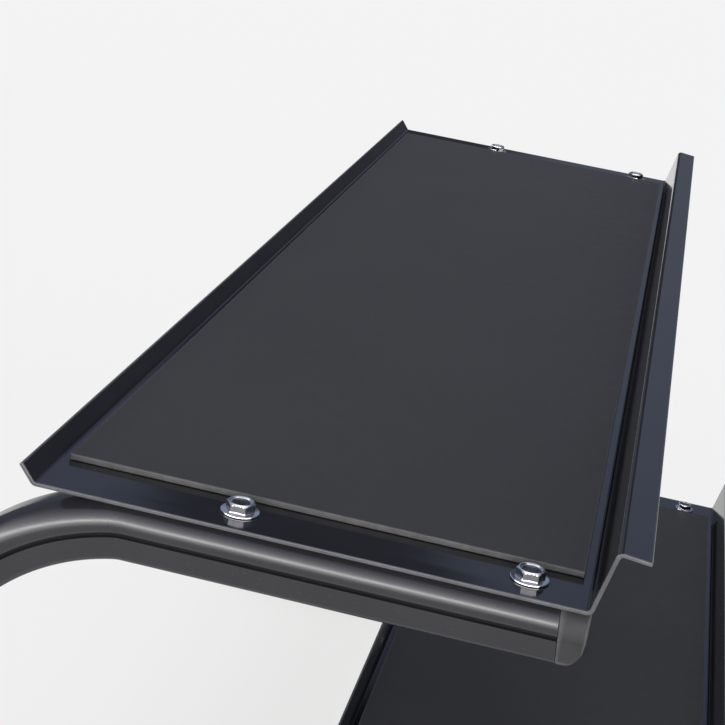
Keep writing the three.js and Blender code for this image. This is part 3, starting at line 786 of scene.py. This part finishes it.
for side, s in SIDES:
    x0 = s * FRAME_X
    y_a, y_b = Y(RAIL_FRONT), Y(RAIL_REAR)

    def sec_at(y, ins):
        return [(x0 + a, y, RAIL_Z + b) for a, b in rect_section(TUBE_W, TUBE_H, FOOT_R, ins)]
    e = 0.5
    outer = [sec_at(y_a + e * (1 - math.sin(math.pi / 2 * i / 3)), e * (1 - math.cos(math.pi / 2 * i / 3))) for i in (3, 2, 1, 0)]
    outer += [sec_at(y_a + (y_b - y_a) * k / 8, 0) for k in range(1, 8)]
    outer += [sec_at(y_b - e * (1 - math.sin(math.pi / 2 * i / 3)), e * (1 - math.cos(math.pi / 2 * i / 3))) for i in (0, 1, 2, 3)]
    inner = [[(x0 + a, y, RAIL_Z + b) for a, b in rect_section(TUBE_W, TUBE_H, FOOT_R, TUBE_T)] for y in (y_a, y_b)]
    inner = [inner[0]] + [[(x0 + a, y_a + (y_b - y_a) * k / 8, RAIL_Z + b) for a, b in rect_section(TUBE_W, TUBE_H, FOOT_R, TUBE_T)] for k in range(1, 8)] + [inner[1]]
    v, f = tube_grid(outer, inner)
    o = make(f"rail_{side}_tube", v, f, M_TUBE, place=False)
    holes = [((x0, Y(u), RAIL_Z + 1.2), "z", 5.5, 8.0) for u in FOOT_U]
    xi = x0 - s * TUBE_W / 2
    holes += [((xi + s * 1.2, Y(CROSS_U + d), RAIL_Z + TUBE_H / 2), "x", 5.5, 8.0) for d in (-CROSS_BOLT, CROSS_BOLT)]
    cut(o, holes)
    finish_mesh(o.data, 30)
    settle(o, [f"foot_rail_{side}"], "rack")

    # push-in caps
    for where, y_end, d in (("front", y_a, -1), ("rear", y_b, 1)):
        loops = []
        for yy in (-16.0, -15.2):
            ins = TUBE_T + (1.1 if yy < -15.5 else 0.35)
            loops.append([(x0 + a, y_end + d * yy, RAIL_Z + b) for a, b in rect_section(TUBE_W, TUBE_H, FOOT_R, ins)])
        loops.append([(x0 + a, y_end + d * GAP, RAIL_Z + b) for a, b in rect_section(TUBE_W, TUBE_H, FOOT_R, TUBE_T + 0.35)])
        loops.append([(x0 + a, y_end + d * GAP, RAIL_Z + b) for a, b in rect_section(TUBE_W, TUBE_H, FOOT_R, 0.35)])
        loops.append([(x0 + a, y_end + d * (GAP + 0.3), RAIL_Z + b) for a, b in rect_section(TUBE_W, TUBE_H, FOOT_R, 0.0)])
        rr = 2.6
        for i in range(8):
            a = math.pi / 2 * i / 7
            ins, dist = rr * (1 - math.cos(a)), PLUG_FLANGE - rr + rr * math.sin(a)
            loops.append([(x0 + p, y_end + d * dist, RAIL_Z + q) for p, q in rect_section(TUBE_W, TUBE_H, FOOT_R + 1.5, ins)])
        for i in range(1, 4):                               # faint dish in the face
            k = i / 3
            loops.append([(x0 + p, y_end + d * (PLUG_FLANGE - 0.45 * k), RAIL_Z + q) for p, q in rect_section(TUBE_W, TUBE_H, FOOT_R + 1.5, rr + 1.4 * k)])
        v, f = grid(loops)
        make(f"rail_cap_{side}_{where}", v, f, M_CAP, [f"foot_cap_{side}_{where}"], sharp=48)

    # levelling feet
    for where, u in zip(("rear", "front"), FOOT_U):
        body = f"foot_{side}_{where}"
        th = [2 * math.pi * i / 96 for i in range(96)]
        prof = [(0.5, 0.0), (18.5, 0.0), (20.3, 0.0), (21.3, 0.35), (21.85, 1.1), (22.0, 2.2), (22.0, 4.2), (21.6, 5.3), (20.6, 6.1), (18.6, 7.1), (16.0, 8.2), (13.0, 9.6),
                (11.0, 10.6), (9.6, 11.2), (8.6, 11.7), (7.6, 11.95), (5.3, 12.0)]
        loops = []
        for r, z in prof:
            ring = []
            for t in th:
                grip = 0.45 * max(0.0, math.cos(24 * t)) if 21.2 < r else 0.0
                ring.append(((r - grip) * math.cos(t), (r - grip) * math.sin(t), z))
            loops.append(ring)
        v, f = grid(loops)
        pad = make(f"foot_pad_{side}_{where}", v, f, M_FOOT, [f"levelling_foot_{side}_{where}"], body=body, loc=(x0, Y(u), 0), sharp=40)
        stud = thread_loops(5.0, 1.5, 11.6, 54.2, 0.5)
        r_end = [(4.2, 54.7), (3.6, 55.0), (0.6, 55.0)]
        stud += [[(r * math.cos(2 * math.pi * i / 48), r * math.sin(2 * math.pi * i / 48), z) for i in range(48)] for r, z in r_end]
        v, f = grid(stud)
        make(f"foot_stud_{side}_{where}", v, f, M_ZINC, body=body, loc=(x0, Y(u), 0), sharp=60)
        put(f"foot_locknut_{side}_{where}", ME_LOCK, (x0, Y(u), RAIL_Z - GAP - 5.5), [f"foot_lock_nut_{side}_{where}"], turn=14)
        put(f"foot_weldnut_{side}_{where}", ME_NUT10, (x0, Y(u), RAIL_Z + TUBE_T + GAP), [f"foot_weld_nut_{side}_{where}"], turn=30)

    # weld beads where the legs stand on the rail
    for tier, tz, tu in TIERS:
        yc = Y(LEG_U + tu)
        path = []
        sec = dense(arm_section(0.0, 10, 4))
        n = len(sec)
        cxs, cys = 0.0, TUBE_H / 2
        for i, (a, b) in enumerate(sec):
            p, q = sec[i - 1], sec[(i + 1) % n]
            tx, ty = q[0] - p[0], q[1] - p[1]
            l = math.hypot(tx, ty)
            nx, ny = ty / l, -tx / l
            inside = abs(a) > TUBE_W / 2 - 5.0
            z = RAIL_TOP + 0.2
            if inside:                                       # follows the rail's rounded edge
                over = abs(a) - (TUBE_W / 2 - FOOT_R)
                if over > 0:
                    z = RAIL_TOP - FOOT_R + math.sqrt(max(FOOT_R ** 2 - over ** 2, 0)) + 0.2
            path.append((x0 + a * 0.992, yc + b, z, nx, ny, 0.0, 0.0, 0.0, 1.0))
        o = bead(path, 1.9, M_TUBE, f"{tier}_leg_weld_{side}")

    # end plate of the crossbar
    x1 = xi - s * GAP
    xp = x1 - s * 2.0
    yc, zc = Y(CROSS_U), RAIL_Z + TUBE_H / 2
    def plate_loop(ins, w=98.0, h=35.0, r=5.0):
        return [(yc + a, zc - h / 2 + b) for a, b in rect_section(w, h, r, ins, 8)]
    loops = [[(xp + s * x, y, z) for y, z in plate_loop(ins)] for x, ins in ((-2.0, 0.4), (-1.88, 0.12), (-1.6, 0.0), (1.6, 0.0), (1.88, 0.12), (2.0, 0.4))]
    v, f = grid(loops)
    o = make(f"bar_plate_{side}", v, f, M_TUBE, place=False)
    cut(o, [((xp, Y(CROSS_U + d), zc), "x", 5.5, 10.0) for d in (-CROSS_BOLT, CROSS_BOLT)])
    finish_mesh(o.data, 40)
    settle(o, [f"crossbar_plate_{side}"], "rack")
    for where, d in (("rear", -CROSS_BOLT), ("front", CROSS_BOLT)):
        put(f"bar_bolt_{side}_{where}", ME_BOLT10, (x1 - s * 4.0 - s * GAP, Y(CROSS_U + d), zc), [f"crossbar_bolt_{side}_{where}"], rot=-90 * s, turn=11)
        put(f"bar_nut_{side}_{where}", ME_NUT10, (xi + s * (TUBE_T + GAP) + (-8 if s < 0 else 0), Y(CROSS_U + d), zc), [f"crossbar_nut_{side}_{where}"], rot=90)
    # weld bead between bar and plate
    xw = x1 - s * 4.0
    path = []
    sec = dense(rect_section(CROSS_W, CROSS_H, FOOT_R, 0.0))
    for i, (a, b) in enumerate(sec):
        p, q = sec[i - 1], sec[(i + 1) % len(sec)]
        tx, ty = q[0] - p[0], q[1] - p[1]
        l = math.hypot(tx, ty)
        path.append((xw - s * 0.3, yc + a, RAIL_Z + (TUBE_H - CROSS_H) / 2 + b, 0.0, ty / l, -tx / l, 1.0, 0.0, 0.0))
    bead(path, 1.7, M_TUBE, f"bar_weld_{side}")

half = FRAME_X - TUBE_W / 2 - GAP - 4 - GAP
zb = RAIL_Z + (TUBE_H - CROSS_H) / 2
def bar_loop(x, off):
    return [(x, Y(CROSS_U) + a, zb + b) for a, b in rect_section(CROSS_W, CROSS_H, FOOT_R, off)]
v, f = tube_grid([bar_loop(-half + 2 * half * k / 10, 0) for k in range(11)], [bar_loop(-half + 2 * half * k / 10, TUBE_T) for k in range(11)])
make("crossbar_tube", v, f, M_TUBE, ["base_crossbar"])

# ---------------------------------------------------------------- stage
def stage_material():
    m, nt, b = new_mat("stage_floor")
    b.inputs["Base Color"].default_value = (0.25, 0.247, 0.241, 1)
    b.inputs["Roughness"].default_value = 0.9
    b.inputs["Specular IOR Level"].default_value = 0.0
    b.inputs["Emission Color"].default_value = (1.0, 0.995, 0.98, 1)
    b.inputs["Emission Strength"].default_value = 0.655
    return m


me = bpy.data.meshes.new("floor")
S = 80.0
me.from_pydata([(-S, -S, 0), (S, -S, 0), (S, S, 0), (-S, S, 0)], [], [(0, 1, 2, 3)])
me.materials.append(stage_material())
floor = bpy.data.objects.new("floor", me)
scene.collection.objects.link(floor)

world = bpy.data.worlds.new("studio")
scene.world = world
world.use_nodes = True
nt = world.node_tree
bg = nt.nodes["Background"]
tc = nt.nodes.new("ShaderNodeTexCoord")
sep = nt.nodes.new("ShaderNodeSeparateXYZ")
nt.links.new(tc.outputs["Generated"], sep.inputs[0])


def wmath(op, a, b=None):
    n = nt.nodes.new("ShaderNodeMath")
    n.operation = op
    for i, x in enumerate((a, b)):
        if x is None:
            continue
        if isinstance(x, (int, float)):
            n.inputs[i].default_value = x
        else:
            nt.links.new(x, n.inputs[i])
    return n.outputs[0]


def wramp(fac, stops):
    n = nt.nodes.new("ShaderNodeValToRGB")
    els = n.color_ramp.elements
    while len(els) < len(stops):
        els.new(0.5)
    for el, (p, c) in zip(els, stops):
        el.position = p
        el.color = (*c, 1)
    nt.links.new(fac, n.inputs["Fac"])
    return n.outputs["Color"]


def wrange(x, lo, hi, a=0.0, b=1.0):
    n = nt.nodes.new("ShaderNodeMapRange")
    n.interpolation_type = "SMOOTHSTEP"
    for k, val in (("From Min", lo), ("From Max", hi), ("To Min", a), ("To Max", b)):
        n.inputs[k].default_value = val
    nt.links.new(x, n.inputs["Value"])
    return n.outputs["Result"]


elev = wmath("MULTIPLY", wmath("ARCSINE", sep.outputs["Z"]), 2 / math.pi)      # 0 at the horizon, 1 overhead
azim = wmath("ARCTAN2", sep.outputs["Y"], sep.outputs["X"])                     # 0 along +X
deg = lambda d: d / 90.0
grey = lambda g, warm=1.0: (g * warm, g, g / warm)
front = wramp(elev, [(0.0, grey(2.6)), (deg(4), grey(3.4)), (deg(7), grey(6.0)), (deg(9), grey(12.5)), (deg(12), grey(12.0)), (deg(14), grey(4.6)), (deg(22), (2.5, 2.42, 2.6)),
                     (deg(32), (1.1, 1.12, 1.35)), (deg(44), (0.40, 0.41, 0.48)), (deg(60), (0.35, 0.36, 0.42)), (deg(72), (1.5, 1.5, 1.55)), (1.0, (1.7, 1.7, 1.75))])
behind = wramp(elev, [(0.0, (0.10, 0.11, 0.14)), (deg(10), (0.15, 0.17, 0.22)), (deg(18), (0.22, 0.26, 0.37)), (deg(26), (0.25, 0.30, 0.44)), (deg(38), (0.26, 0.30, 0.40)), (deg(52), (0.42, 0.44, 0.50)),
                      (deg(70), (1.3, 1.32, 1.4)), (1.0, (1.7, 1.7, 1.75))])
mix = nt.nodes.new("ShaderNodeMix")
mix.data_type = "RGBA"
nt.links.new(wrange(sep.outputs["X"], 0.05, -0.5), mix.inputs["Factor"])
nt.links.new(behind, mix.inputs["A"])
nt.links.new(front, mix.inputs["B"])
# a dark flag stands far behind the right-hand end
flag = wmath("MULTIPLY", wrange(azim, math.radians(3.0), math.radians(5.5)), wrange(azim, math.radians(15.0), math.radians(13.0)))
flag2 = wmath("MULTIPLY", wrange(azim, math.radians(-8.0), math.radians(-13.0)), wrange(azim, math.radians(-75.0), math.radians(-60.0)))
flag = wmath("MULTIPLY", wmath("MAXIMUM", flag, wmath("MULTIPLY", flag2, 0.8)), wrange(elev, deg(50), deg(40)))
dark = nt.nodes.new("ShaderNodeMix")
dark.data_type = "RGBA"
nt.links.new(wmath("MULTIPLY", flag, 0.80), dark.inputs["Factor"])
nt.links.new(mix.outputs["Result"], dark.inputs["A"])
dark.inputs["B"].default_value = (0.02, 0.02, 0.022, 1)
nt.links.new(dark.outputs["Result"], bg.inputs["Color"])
bg.inputs["Strength"].default_value = 1.0
# the room itself is pale; the soft boxes above only light the rack and show in its gloss
room = nt.nodes.new("ShaderNodeBackground")
room.inputs["Color"].default_value = (0.90, 0.90, 0.90, 1)
seen = nt.nodes.new("ShaderNodeLightPath")
both = nt.nodes.new("ShaderNodeMixShader")
nt.links.new(seen.outputs["Is Camera Ray"], both.inputs[0])
nt.links.new(bg.outputs[0], both.inputs[1])
nt.links.new(room.outputs[0], both.inputs[2])
nt.links.new(both.outputs[0], nt.nodes["World Output"].inputs["Surface"])

# ---------------------------------------------------------------- camera
R = [[0.1911505901528966, -0.9681320834509697, 0.1618076663112224],
     [-0.27993719141031925, -0.2117706572516671, -0.9363697760994314],
     [0.9407958380587466, 0.13369165164692026, -0.3114962624662083]]
cam_data = bpy.data.cameras.new("camera")
cam_data.sensor_width = 36.0
cam_data.lens = 1796.79 / 725.0 * 36.0
cam_data.clip_start, cam_data.clip_end = 0.05, 300.0
cam = bpy.data.objects.new("camera", cam_data)
right, down, fwd = (Vector(r) for r in R)
m = Matrix((right, -down, -fwd)).transposed().to_4x4()
m.translation = Vector((-1113.445 - TRAY_L / 2, Y0 - 372.116, 506.530 + Z_TOP)) * MM
cam.matrix_world = m
scene.collection.objects.link(cam)
scene.camera = cam
